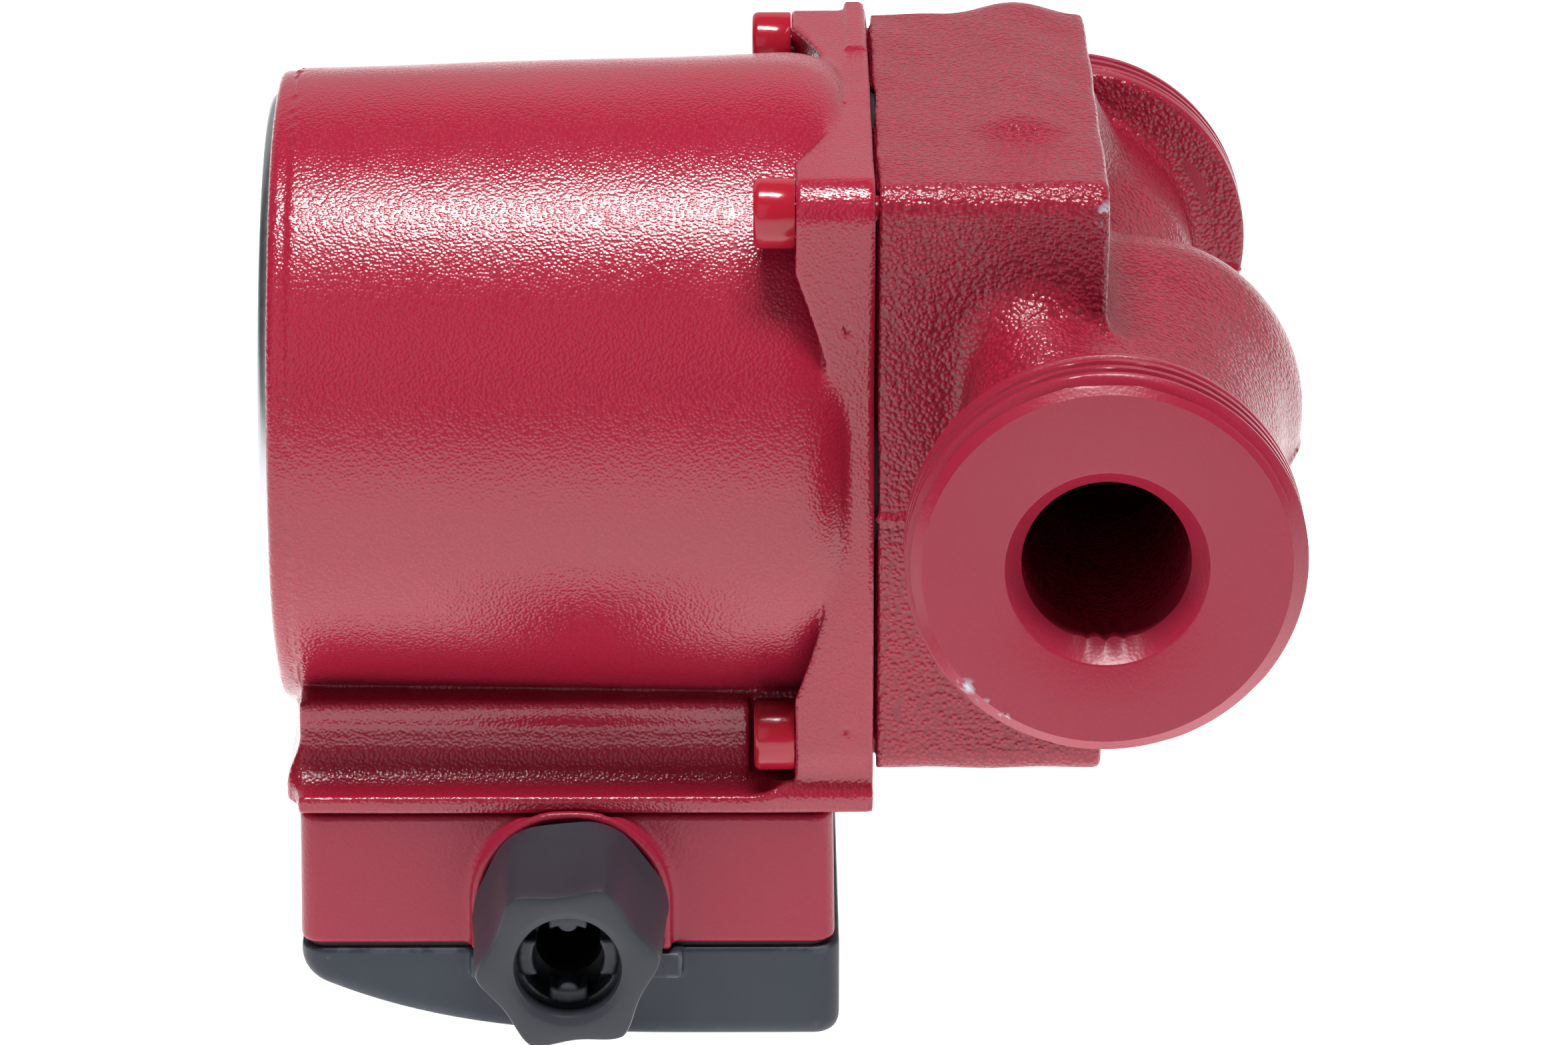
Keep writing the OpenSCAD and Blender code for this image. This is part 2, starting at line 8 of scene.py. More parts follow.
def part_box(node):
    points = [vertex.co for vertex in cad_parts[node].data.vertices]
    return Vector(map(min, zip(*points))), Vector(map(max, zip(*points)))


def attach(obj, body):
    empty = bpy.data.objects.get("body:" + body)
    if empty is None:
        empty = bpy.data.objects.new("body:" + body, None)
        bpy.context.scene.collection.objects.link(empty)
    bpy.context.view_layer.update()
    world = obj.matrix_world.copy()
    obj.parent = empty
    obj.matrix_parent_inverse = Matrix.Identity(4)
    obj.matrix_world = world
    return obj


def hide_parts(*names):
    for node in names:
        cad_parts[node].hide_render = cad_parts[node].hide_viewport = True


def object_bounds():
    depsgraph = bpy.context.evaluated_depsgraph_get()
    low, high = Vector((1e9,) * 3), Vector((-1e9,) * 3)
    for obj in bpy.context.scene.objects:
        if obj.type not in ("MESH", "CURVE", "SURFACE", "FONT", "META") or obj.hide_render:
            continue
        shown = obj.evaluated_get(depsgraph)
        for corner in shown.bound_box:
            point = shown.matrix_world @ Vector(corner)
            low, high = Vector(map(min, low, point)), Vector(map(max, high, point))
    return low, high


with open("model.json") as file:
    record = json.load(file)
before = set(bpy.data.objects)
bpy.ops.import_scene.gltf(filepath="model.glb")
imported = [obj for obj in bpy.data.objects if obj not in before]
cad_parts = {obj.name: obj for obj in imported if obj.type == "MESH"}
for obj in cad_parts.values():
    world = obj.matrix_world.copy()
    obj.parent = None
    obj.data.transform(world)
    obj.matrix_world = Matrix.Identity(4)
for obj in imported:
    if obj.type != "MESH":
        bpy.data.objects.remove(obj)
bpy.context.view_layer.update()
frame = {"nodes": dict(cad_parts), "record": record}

# Lengths in this script are millimetres, measured from the point where the shaft axis (X)
# crosses the pipe axis (Y). to_metres() moves them into the frame.
HALF_SPAN = (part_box("pump_housing")[1][1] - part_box("pump_housing")[0][1]) * 500.0
CENTRE = np.array([0.0, HALF_SPAN, 0.0])


def to_metres(points):
    return (np.asarray(points, float) + CENTRE) / 1000.0


def cad(node):
    """Low and high corners of a CAD node, in this script's millimetres."""
    low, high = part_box(node)
    return np.array(low) * 1000.0 - CENTRE, np.array(high) * 1000.0 - CENTRE


# ---------------------------------------------------------------- camera, light and floor

FOCAL_PX = 10981.0
IMAGE_W = 2352.0
SENSOR_MM = 36.0
CAMERA_AT = (-43.0, -868.6, 315.0)
CAMERA_LOOKS = (0.0056, 0.9334, -0.3588)

WORLD_GLOW = 0.06
FLOOR_GLOW = 1.15
FLOOR_HALF_M = 6.0
FLOOR_DROP_M = 0.0005
FLOOR_GREY = 0.80


def add_camera():
    data = bpy.data.cameras.new("camera")
    data.sensor_width = SENSOR_MM
    data.lens = FOCAL_PX / IMAGE_W * SENSOR_MM
    data.clip_start = 0.01
    cam = bpy.data.objects.new("camera", data)
    bpy.context.scene.collection.objects.link(cam)
    turn = Vector(CAMERA_LOOKS).to_track_quat("-Z", "Y").to_matrix().to_4x4()
    cam.matrix_world = Matrix.Translation(Vector(to_metres(CAMERA_AT))) @ turn
    bpy.context.scene.camera = cam


def add_area_light(name, at, size, power, aim=(-35.0, 0.0, 0.0)):
    data = bpy.data.lights.new(name, "AREA")
    data.shape = "RECTANGLE"
    data.size, data.size_y = size
    data.energy = power
    lamp = bpy.data.objects.new(name, data)
    bpy.context.scene.collection.objects.link(lamp)
    place = Vector(to_metres(at))
    turn = (Vector(to_metres(aim)) - place).to_track_quat("-Z", "Y").to_matrix().to_4x4()
    lamp.matrix_world = Matrix.Translation(place) @ turn


def add_world(strength):
    world = bpy.data.worlds.new("studio")
    world.use_nodes = True
    back = world.node_tree.nodes["Background"]
    back.inputs["Color"].default_value = (1.0, 1.0, 1.0, 1.0)
    back.inputs["Strength"].default_value = strength
    bpy.context.scene.world = world


def add_floor():
    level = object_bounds()[0][2] - FLOOR_DROP_M
    corners = ((-1, -1), (1, -1), (1, 1), (-1, 1))
    mesh = bpy.data.meshes.new("floor")
    mesh.from_pydata([(i * FLOOR_HALF_M, j * FLOOR_HALF_M, level) for i, j in corners], [], [(0, 1, 2, 3)])
    floor = bpy.data.objects.new("floor", mesh)
    bpy.context.scene.collection.objects.link(floor)
    mat = bpy.data.materials.new("pale_floor")
    mat.use_nodes = True
    shader = mat.node_tree.nodes["Principled BSDF"]
    shader.inputs["Base Color"].default_value = (FLOOR_GREY, FLOOR_GREY, FLOOR_GREY, 1.0)
    shader.inputs["Roughness"].default_value = 0.6
    shader.inputs["Emission Color"].default_value = (1.0, 1.0, 1.0, 1.0)
    shader.inputs["Emission Strength"].default_value = FLOOR_GLOW
    mesh.materials.append(mat)


# ---------------------------------------------------------------- materials

class Nodes:
    """Short calls for building a node tree."""

    def __init__(self, name):
        self.mat = bpy.data.materials.new(name)
        self.mat.use_nodes = True
        self.tree = self.mat.node_tree
        self.shader = self.tree.nodes["Principled BSDF"]
        self.coords = self.tree.nodes.new("ShaderNodeTexCoord").outputs["Object"]

    def link(self, source, target):
        self.tree.links.new(source, target)

    def noise(self, size_mm, detail=2.0, rough=0.5, stretch=None):
        node = self.tree.nodes.new("ShaderNodeTexNoise")
        node.inputs["Scale"].default_value = 1000.0 / size_mm
        node.inputs["Detail"].default_value = detail
        node.inputs["Roughness"].default_value = rough
        if stretch is None:
            self.link(self.coords, node.inputs["Vector"])
        else:
            mapping = self.tree.nodes.new("ShaderNodeMapping")
            mapping.inputs["Scale"].default_value = stretch
            self.link(self.coords, mapping.inputs["Vector"])
            self.link(mapping.outputs["Vector"], node.inputs["Vector"])
        return node.outputs["Fac"]

    def pebbles(self, size_mm):
        """Rounded bumps with narrow pits between them."""
        node = self.tree.nodes.new("ShaderNodeTexVoronoi")
        node.feature = "SMOOTH_F1"
        node.inputs["Scale"].default_value = 1000.0 / size_mm
        node.inputs["Smoothness"].default_value = 0.35
        # Rounded bumps with narrow hollows between them.
        self.link(self.coords, node.inputs["Vector"])
        return self.ramp(node.outputs["Distance"], 0.75, 0.15)

    def ramp(self, source, low, high):
        """Maps source from (low, high) to 0..1."""
        node = self.tree.nodes.new("ShaderNodeMapRange")
        node.inputs["From Min"].default_value = low
        node.inputs["From Max"].default_value = high
        self.link(source, node.inputs["Value"])
        return node.outputs["Result"]

    def between(self, source, low, high):
        """Maps source from 0..1 to (low, high)."""
        node = self.tree.nodes.new("ShaderNodeMapRange")
        node.inputs["To Min"].default_value = low
        node.inputs["To Max"].default_value = high
        self.link(source, node.inputs["Value"])
        return node.outputs["Result"]

    def mix(self, factor, a, b):
        node = self.tree.nodes.new("ShaderNodeMix")
        node.data_type = "RGBA"
        self.link(factor, node.inputs["Factor"])
        for socket, value in ((node.inputs[6], a), (node.inputs[7], b)):
            if isinstance(value, tuple):
                socket.default_value = (*value, 1.0)
            else:
                self.link(value, socket)
        return node.outputs[2]

    def times(self, a, b):
        node = self.tree.nodes.new("ShaderNodeMath")
        node.operation = "MULTIPLY"
        self.link(a, node.inputs[0])
        self.link(b, node.inputs[1])
        return node.outputs["Value"]

    def bump(self, height, depth_mm, strength=1.0, under=None):
        node = self.tree.nodes.new("ShaderNodeBump")
        node.inputs["Distance"].default_value = depth_mm / 1000.0
        node.inputs["Strength"].default_value = strength
        self.link(height, node.inputs["Height"])
        if under is not None:
            self.link(under, node.inputs["Normal"])
        return node.outputs["Normal"]


def edge_mask(n, low, high):
    """1 on convex edges of a dense mesh, broken up by noise."""
    geometry = n.tree.nodes.new("ShaderNodeNewGeometry")
    edge = n.ramp(geometry.outputs["Pointiness"], low, high)
    return n.times(edge, n.ramp(n.noise(3.0, 4.0), 0.52, 0.64))


def near_spot(n, at, reach_mm):
    """1 near a point given in millimetres, broken up by noise and fading at reach_mm."""
    gap = n.tree.nodes.new("ShaderNodeVectorMath")
    gap.operation = "DISTANCE"
    n.link(n.coords, gap.inputs[0])
    gap.inputs[1].default_value = tuple(to_metres(at))
    close = n.ramp(gap.outputs["Value"], reach_mm / 1000.0, reach_mm / 4000.0)
    return n.times(close, n.ramp(n.noise(1.3, 4.0), 0.48, 0.56))


def paint(name, base, grain_mm, grain_depth, gloss, pit_shade=0.8, coarse=None, chips=(), shine=0.4):
    """Red paint over metal: pebbled grain with painted shade in its hollows, slow tone changes and small
    chips.
    """
    n = Nodes(name)
    tone = n.mix(n.noise(26.0, 3.0), tuple(c * 0.88 for c in base), tuple(min(1.0, c * 1.10) for c in base))
    grain = n.pebbles(grain_mm)
    # Painted shade: the grain's hollows are darkened by this factor, as if shade fell in them.
    colour = n.mix(grain, tuple(c * pit_shade for c in base), tone)
    for at, reach in chips:
        colour = n.mix(near_spot(n, at, reach), colour, (0.42, 0.45, 0.50))
    n.link(colour, n.shader.inputs["Base Color"])
    n.link(n.between(n.noise(7.0, 3.0), gloss - 0.06, gloss + 0.08), n.shader.inputs["Roughness"])
    n.shader.inputs["Specular IOR Level"].default_value = shine
    normal = n.bump(grain, grain_depth)
    if coarse is not None:
        normal = n.bump(n.noise(coarse[0], 3.0, 0.6), coarse[1], under=normal)
    n.link(normal, n.shader.inputs["Normal"])
    return n.mat


def metal(name, base, rough, brushed=None, depth=0.01):
    n = Nodes(name)
    n.shader.inputs["Metallic"].default_value = 1.0
    grain = n.noise(0.35, 2.0, 0.6, brushed) if brushed else n.noise(1.2, 3.0, 0.6)
    colour = n.mix(n.noise(14.0, 3.0), tuple(c * 0.85 for c in base), base)
    n.link(colour, n.shader.inputs["Base Color"])
    n.link(n.between(grain, rough - 0.06, rough + 0.1), n.shader.inputs["Roughness"])
    n.link(n.bump(grain, depth), n.shader.inputs["Normal"])
    return n.mat


def plastic(name, base, rough, grain_mm=0.35, depth=0.02, edge_highlight=None):
    n = Nodes(name)
    grain = n.noise(grain_mm, 2.0, 0.55)
    colour = n.mix(n.noise(12.0, 3.0), tuple(c * 0.85 for c in base), tuple(min(1.0, c * 1.12) for c in base))
    if edge_highlight is not None:
        # Painted highlight: convex edges are mixed toward a lighter grey, broken up by noise.
        colour = n.mix(edge_mask(n, 0.51, 0.6), colour, edge_highlight)
    n.link(colour, n.shader.inputs["Base Color"])
    n.link(n.between(n.noise(5.0, 3.0), rough - 0.06, rough + 0.08), n.shader.inputs["Roughness"])
    n.shader.inputs["Specular IOR Level"].default_value = 0.3
    n.link(n.bump(grain, depth), n.shader.inputs["Normal"])
    return n.mat


RED = (0.310, 0.012, 0.034)
BLOCK_CHIP = ((1.0, -38.0, 35.0), 2.2)
FACE_CHIPS = (((-16.6, -64.6, -15.0), 1.5), ((-14.4, -64.6, -17.2), 1.2), ((-12.0, -64.6, -18.8), 0.9))
MATERIALS = {
    "cast_red": paint("cast_red", (0.31, 0.013, 0.035),
                      0.58, 0.11, 0.25, 0.62, (1.5, 0.17), (BLOCK_CHIP,), 0.40),
    "motor_red": paint("motor_red", RED, 0.42, 0.042, 0.19, 0.86, (1.1, 0.02), (), 0.5),
    "machined_red": paint("machined_red", (0.28, 0.013, 0.036),
                          0.45, 0.010, 0.30, 0.92, None, FACE_CHIPS, 0.32),
    "screw_red": paint("screw_red", (0.33, 0.010, 0.024), 0.9, 0.006, 0.16, 0.97),
    "box_red": paint("box_red", (0.28, 0.013, 0.036), 0.45, 0.022, 0.30, 0.92, shine=0.3),
    "steel": metal("steel", (0.60, 0.61, 0.62), 0.30),
    "bright_steel": metal("bright_steel", (0.50, 0.51, 0.53), 0.30),
    "lamination": metal("lamination", (0.33, 0.34, 0.36), 0.45, brushed=(12.0, 1.0, 1.0), depth=0.03),
    "copper": metal("copper", (0.72, 0.33, 0.14), 0.35, brushed=(4.0, 1.0, 1.0), depth=0.08),
    "brass": metal("brass", (0.75, 0.56, 0.26), 0.28),
    "chrome": metal("chrome", (0.82, 0.82, 0.83), 0.10, depth=0.002),
    "ceramic": plastic("ceramic", (0.85, 0.82, 0.74), 0.30, 0.5, 0.004),
    "carbon": plastic("carbon", (0.05, 0.05, 0.055), 0.40),
    "composite": plastic("composite", (0.12, 0.12, 0.13), 0.45),
    "rubber": plastic("rubber", (0.012, 0.012, 0.013), 0.60),
    # The last colour of each black plastic is its painted edge highlight.
    "black_plastic": plastic("black_plastic", (0.019, 0.026, 0.037), 0.44, 0.30, 0.030, (0.10, 0.11, 0.12)),
    "gland_plastic": plastic("gland_plastic", (0.026, 0.029, 0.038), 0.40, 0.30, 0.025, (0.12, 0.13, 0.14)),
    "dark_plastic": plastic("dark_plastic", (0.03, 0.03, 0.035), 0.40),
    "white_plastic": plastic("white_plastic", (0.80, 0.79, 0.75), 0.42),
}


def dress_cad_nodes():
    for entry in frame["record"]["subparts"]:
        mesh = frame["nodes"][entry["node"]].data
        for index in range(max(1, len(mesh.materials))):
            if index < len(mesh.materials):
                mesh.materials[index] = MATERIALS[entry["material_slot"]]
            else:
                mesh.materials.append(MATERIALS[entry["material_slot"]])


# ---------------------------------------------------------------- mesh building

# Cell size of the meshes cut from distance fields.
STEP = 0.55
FINE_STEP = 0.5
SETTLE_PROBE = 0.02


def add_piece(name, shells, material, body, stands_for=()):
    """One object from several closed shells; each shell is (points, faces)."""
    points, faces = [], []
    start = 0
    for shell_points, shell_faces in shells:
        points.append(np.asarray(shell_points, float))
        faces.extend([start + int(i) for i in face] for face in shell_faces)
        start += len(shell_points)
    mesh = bpy.data.meshes.new(name)
    mesh.from_pydata(to_metres(np.concatenate(points)).tolist(), [], faces)
    mesh.validate()
    mesh.shade_smooth()
    mesh.materials.append(MATERIALS[material])
    obj = bpy.data.objects.new(name, mesh)
    bpy.context.scene.collection.objects.link(obj)
    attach(obj, body)
    if stands_for:
        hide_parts(*stands_for)
    return obj


def crease(obj, degrees=32.0):
    """Keeps edges sharper than this angle crisp."""
    obj.data.set_sharp_from_angle(angle=math.radians(degrees))


def revolve(rows, axis="X", at=(0.0, 0.0, 0.0), segments=128, turn=0.0):
    """Closed shell from rows of (radius, height). A radius may be a function of the angle.

    Angles run from +Y to +Z about X, from +Z to +X about Y and from +X to +Y about Z.
    The rows run anticlockwise round the section, and a zero radius is a pole.
    """
    theta = np.arange(segments) * 2.0 * math.pi / segments
    points, rings = [], []
    for radius, height in rows:
        if not callable(radius) and radius == 0:
            rings.append([len(points)])
            points.append((0.0, 0.0, height))
            continue
        r = radius(theta) if callable(radius) else np.full(segments, float(radius))
        rings.append(list(range(len(points), len(points) + segments)))
        heights = np.full(segments, float(height))
        points.extend(zip(r * np.cos(theta + turn), r * np.sin(theta + turn), heights))
    faces = []
    pairs = list(zip(rings, rings[1:]))
    if len(rings[0]) > 1 and len(rings[-1]) > 1:
        pairs.append((rings[-1], rings[0]))
    for a, b in pairs:
        for i in range(segments):
            j = (i + 1) % segments
            if len(a) == 1:
                faces.append((a[0], b[j], b[i]))
            elif len(b) == 1:
                faces.append((a[i], a[j], b[0]))
            else:
                faces.append((a[i], a[j], b[j], b[i]))
    flat = np.array(points)
    order = {"X": (2, 0, 1), "Y": (1, 2, 0), "Z": (0, 1, 2)}[axis]
    return flat[:, order] + np.array(at), faces


def surface_nets(field, low, high, step):
    """Quad mesh of field(x, y, z) = 0 inside a box; field is negative in the solid."""
    axes = [np.arange(a - 2 * step, b + 2.5 * step, step) for a, b in zip(low, high)]
    values = np.empty([len(a) for a in axes], np.float32)
    for i, x in enumerate(axes[0]):
        values[i] = field(x, axes[1][:, None], axes[2][None, :])
    inside = values < 0
    shape = np.array(values.shape) - 1
    corners = [(i, j, k) for i in (0, 1) for j in (0, 1) for k in (0, 1)]
    count = sum(inside[i:shape[0] + i, j:shape[1] + j, k:shape[2] + k].astype(np.int8) for i, j, k in corners)
    cells = np.argwhere((count > 0) & (count < 8))
    index = np.full(shape, -1, np.int64)
    index[tuple(cells.T)] = np.arange(len(cells))
    total = np.zeros((len(cells), 3))
    hits = np.zeros(len(cells))
    for a in corners:
        for axis in range(3):
            if a[axis]:
                continue
            b = list(a)
            b[axis] = 1
            va = values[tuple((cells + a).T)]
            vb = values[tuple((cells + b).T)]
            cross = (va < 0) != (vb < 0)
            t = np.where(cross, va / np.where(cross, va - vb, 1.0), 0.0)
            spot = cells + np.array(a, float)
            spot[:, axis] += t
            total += spot * cross[:, None]
            hits += cross
    points = total / hits[:, None] * step + np.array([a[0] for a in axes])
    quads = []
    for axis in range(3):
        u, v = (axis + 1) % 3, (axis + 2) % 3
        first = [slice(1, -1)] * 3
        first[axis] = slice(0, -1)
        second = list(first)
        second[axis] = slice(1, None)
        a, b = inside[tuple(first)], inside[tuple(second)]
        edges = np.argwhere(a != b)
        flip = a[tuple(edges.T)]
        base = edges + 1
        base[:, axis] -= 1
        ring = []
        for du, dv in ((-1, -1), (0, -1), (0, 0), (-1, 0)):
            cell = base.copy()
            cell[:, u] += du
            cell[:, v] += dv
            ring.append(index[tuple(cell.T)])
        quad = np.stack(ring, 1)
        quad[~flip] = quad[~flip][:, ::-1]
        quads.append(quad)
    return points, np.concatenate(quads)


def settle(points, field, rounds=3, reach=0.25):
    """Moves points onto the field's surface."""
    d = SETTLE_PROBE
    for _ in range(rounds):
        x, y, z = points.T
        value = field(x, y, z)
        slope = np.stack([field(x + d, y, z) - field(x - d, y, z), field(x, y + d, z) - field(x, y - d, z),
                          field(x, y, z + d) - field(x, y, z - d)], 1) / (2 * d)
        size = np.maximum((slope ** 2).sum(1), 0.2)
        points = points - np.clip(value / size, -reach, reach)[:, None] * slope
    return points


def cast(field, low, high, step):
    points, quads = surface_nets(field, low, high, step)
    return settle(points, field), quads


# Signed distances, in millimetres; each takes broadcastable arrays.

def blend_union(a, b, k):
    h = np.clip(0.5 + 0.5 * (b - a) / k, 0.0, 1.0)
    return b * (1 - h) + a * h - k * h * (1 - h)


def blend_cut(a, b, k):
    """a without b, the new edge rounded by k."""
    return -blend_union(-a, b, k)


def blend_meet(a, b, k):
    return -blend_union(-a, -b, k)


def fillet_union(a, b, r):
    """Union with a quarter-round fillet of radius r."""
    return np.maximum(r, np.minimum(a, b)) - np.hypot(np.maximum(r - a, 0.0), np.maximum(r - b, 0.0))


def slab(x, low, high):
    return np.maximum(low - x, x - high)


def round_rect(a, b, half_a, half_b, r):
    da, db = np.abs(a) - half_a + r, np.abs(b) - half_b + r
    return np.hypot(np.maximum(da, 0.0), np.maximum(db, 0.0)) + np.minimum(np.maximum(da, db), 0.0) - r


def round_box(x, y, z, low, high, r):
    mid = (np.array(low) + np.array(high)) / 2.0
    half = (np.array(high) - np.array(low)) / 2.0 - r
    q = [np.abs(p - m) - h for p, m, h in zip((x, y, z), mid, half)]
    out = np.sqrt(sum(np.maximum(c, 0.0) ** 2 for c in q))
    return out + np.minimum(np.maximum(q[0], np.maximum(q[1], q[2])), 0.0) - r


def capsule(x, y, z, a, b, ra, rb):
    """Tapered rod with round ends."""
    a, b = np.array(a, float), np.array(b, float)
    d = b - a
    t = np.clip(((x - a[0]) * d[0] + (y - a[1]) * d[1] + (z - a[2]) * d[2]) / (d @ d), 0.0, 1.0)
    return np.sqrt((x - a[0] - t * d[0]) ** 2 + (y - a[1] - t * d[1]) ** 2
                   + (z - a[2] - t * d[2]) ** 2) - (ra + (rb - ra) * t)


# ---------------------------------------------------------------- castings

HOUSING_LOW, HOUSING_HIGH = cad("pump_housing")
MOTOR_LOW, MOTOR_HIGH = cad("motor_housing")
BOX_LOW, BOX_HIGH = cad("terminal_box")
COVER_LOW, COVER_HIGH = cad("terminal_cover")
GASKET_LOW, GASKET_HIGH = cad("box_gasket")
SCREW_LOW, SCREW_HIGH = cad("flange_screws")

# Volute
BLOCK_X = (HOUSING_LOW[0], 1.0)
BLOCK_HALF = 38.0
PARTING_Z = -4.0
COLLAR_LEN = 10.0
THREAD_R = 23.9
THREAD_PITCH = 2.309
FACE_R = 21.95
BORE_R = 10.1
MOUTH_R = 12.3
MOUTH_DEPTH = 2.7
CAST_END = HALF_SPAN - 8.0       # the casting stops inside the turned collars
SCREW_OFFSET = 34.0
BLOCK_CORNER_R = 3.6
ELBOW_AT = (5.6, -9.0, 0.0)
ELBOW_R = 20.9
NECK_R = 18.0
OUTLET_NECK_R = 16.5
CORE_R = BORE_R + 0.15
THROAT_R = 12.0
EYE_R = 10.4
CHAMBER_R = 33.0
RING_SEAT_R = 15.0
PASSAGE_R = 7.5
PASSAGE_BEND = (-9.8, 31.0, 24.0)
THREAD_HOLE_R = 2.3


def volute_field(x, y, z):
    # Each side of the parting plane has its own draft.
    draft = 0.012 * np.abs(z - PARTING_Z)
    body = round_rect(y, z, BLOCK_HALF - draft, BLOCK_HALF, BLOCK_CORNER_R)
    solid = blend_meet(body, x - BLOCK_X[1], 1.0)
    solid = blend_meet(solid, BLOCK_X[0] - x, 0.3)
    elbow = capsule(x, y, z, ELBOW_AT, (2.0, -40.0, 0.0), ELBOW_R, NECK_R)
    elbow = blend_union(elbow, capsule(x, y, z, ELBOW_AT, (-4.0, -4.0, 0.0), ELBOW_R, ELBOW_R), 2.0)
    solid = fillet_union(solid, elbow, 4.0)
    from_pipe = np.hypot(x, z)
    inlet_neck = np.maximum(from_pipe - NECK_R, slab(y, -CAST_END, -10.0))
    solid = fillet_union(solid, inlet_neck, 2.6)
    # Ridge that runs from the block's near face down to the collar.
    solid = blend_union(solid, capsule(x, y, z, (-2.0, -51.0, 3.0), (-8.2, -35.5, 17.0), 16.8, 7.5), 3.0)
    outlet = capsule(x, y, z, (-8.8, -12.0, 32.3), (-8.2, 32.0, 32.0), 6.7, 7.4)
    outlet = blend_union(outlet, capsule(x, y, z, (-9.0, 31.0, 26.5), (-1.0, 53.0, 4.0), 10.5, 12.5), 4.0)
    solid = blend_union(solid, outlet, 3.0)
    outlet_neck = capsule(x, y, z, (-3.0, 26.0, 0.0), (0.0, 38.0, 0.0), 14.5, OUTLET_NECK_R)
    outlet_neck = np.minimum(outlet_neck, np.maximum(from_pipe - OUTLET_NECK_R, slab(y, 38.0, CAST_END)))
    solid = fillet_union(solid, outlet_neck, 3.0)
    for side in (-1, 1):
        root = slab(side * y, HALF_SPAN - COLLAR_LEN, CAST_END)
        disc = blend_meet(from_pipe - THREAD_R + 0.25, root, 0.5)
        solid = fillet_union(solid, disc, 2.6)
    solid = blend_meet(solid, slab(y, -CAST_END, CAST_END), 0.1)
    # Flash at the parting plane.
    solid = blend_union(solid, np.maximum(np.abs(z - PARTING_Z) - 0.3, solid - 0.32), 0.3)
    # Register that closes the joint at the block's corners, and the gasket's groove.
    from_shaft = np.hypot(y, z)
    register = np.maximum(round_rect(y, z, 36.8, 36.8, 4.0), slab(x, BLOCK_X[0] - 0.33, BLOCK_X[0] + 1.0))
    solid = np.minimum(solid, register)
    solid = np.maximum(solid, -np.maximum(slab(from_shaft, 34.5, 37.0), x - BLOCK_X[0] - 0.6))
    # Waterways and the impeller chamber.
    for radius, low, high in ((CORE_R, -HALF_SPAN - 1, -20.0), (CORE_R, 48.0, HALF_SPAN + 1),
                              (THROAT_R, -22.0, -8.0), (THROAT_R, 38.0, 50.0)):
        solid = np.maximum(solid, -np.maximum(from_pipe - radius, slab(y, low, high)))
    solid = np.maximum(solid, -capsule(x, y, z, (5.8, -8.0, 0.0), (-9.0, 0.0, 0.0), 14.0, EYE_R))
    solid = np.maximum(solid, -np.maximum(from_shaft - CHAMBER_R, slab(x, -40.0, -13.0)))
    solid = np.maximum(solid, -np.maximum(from_shaft - RING_SEAT_R, slab(x, -14.0, -9.0)))
    for start, end in (((-17.5, 4.0, 24.0), PASSAGE_BEND), (PASSAGE_BEND, (-5.3, 44.5, 12.2))):
        solid = np.maximum(solid, -capsule(x, y, z, start, end, PASSAGE_R, PASSAGE_R))
    for sy in (-1, 1):
        for sz in (-1, 1):
            hole = np.hypot(y - sy * SCREW_OFFSET, z - sz * SCREW_OFFSET) - THREAD_HOLE_R
            solid = np.maximum(solid, -np.maximum(hole, slab(x, -40.0, -10.0)))
    # Slight sinks and waves of the sand casting.
    wave = np.sin(x * 0.31 + y * 0.11) * np.sin(y * 0.27 - z * 0.13) * np.sin(z * 0.23 + x * 0.17)
    return solid + 0.16 * wave


def threaded_collar(side):
    """Collar with its turned thread, chamfers and the waterway's mouth."""
    segments = 256
    rows = []

    def mouth(angle):
        # The casting's core left a few scallops low in the mouth.
        low = np.angle(np.exp(1j * (angle - math.pi * (1.0 if side < 0 else 0.0))))
        scallop = np.abs(np.sin(low * 14.0)) * np.exp(-(low / 0.32) ** 4)
        return BORE_R - 0.5 * scallop

    end = HALF_SPAN
    rows.append((BORE_R + 0.3, -(end - COLLAR_LEN + 0.6)))
    rows.append((BORE_R, -(end - COLLAR_LEN + 1.2)))
    rows.append((mouth, -(end - MOUTH_DEPTH - 0.9)))
    rows.append((mouth, -(end - MOUTH_DEPTH)))
    rows.append((BORE_R + 0.55, -(end - MOUTH_DEPTH + 0.66)))
    rows.append((MOUTH_R - 0.15, -(end - 0.12)))
    rows.append((MOUTH_R + 0.15, -end))
    rows.append((FACE_R, -end))
    start, stop, fine = 0.16, COLLAR_LEN - 0.9, 0.14
    for s in np.arange(start, stop, fine):
        def crest(angle, s=s):
            phase = (s / THREAD_PITCH - side * angle / (2 * math.pi)) % 1.0
            groove = np.clip(1.25 - np.abs(phase - 0.5) / 0.23, 0.0, 1.0)
            depth = 1.15 * np.clip((COLLAR_LEN - 1.6 - s) / 1.0, 0.0, 1.0)
            return np.minimum(THREAD_R - depth * groove, FACE_R + s)
        rows.append((crest, -(end - s)))
    rows.append((THREAD_R - 0.1, -(end - COLLAR_LEN + 0.5)))
    rows.append((THREAD_R - 0.6, -(end - COLLAR_LEN + 0.1)))
    rows.append((BORE_R + 2.0, -(end - COLLAR_LEN + 0.1)))
    points, faces = revolve(rows, "Y", segments=segments)
    if side > 0:
        points = points * np.array([1.0, -1.0, 1.0])
        faces = [face[::-1] for face in faces]
    return points, faces


def build_pump_housing():
    field_low = (HOUSING_LOW[0], -HALF_SPAN + 7.5, -40.0)
    field_high = (29.0, HALF_SPAN - 7.5, 41.5)
    add_piece("volute_casting", [cast(volute_field, field_low, field_high, STEP)],
              "cast_red", "pump", ("pump_housing",))
    for side, name in ((-1, "inlet_collar"), (1, "outlet_collar")):
        collar = add_piece(name, [threaded_collar(side)], "machined_red", "pump")
        crease(collar, 24.0)


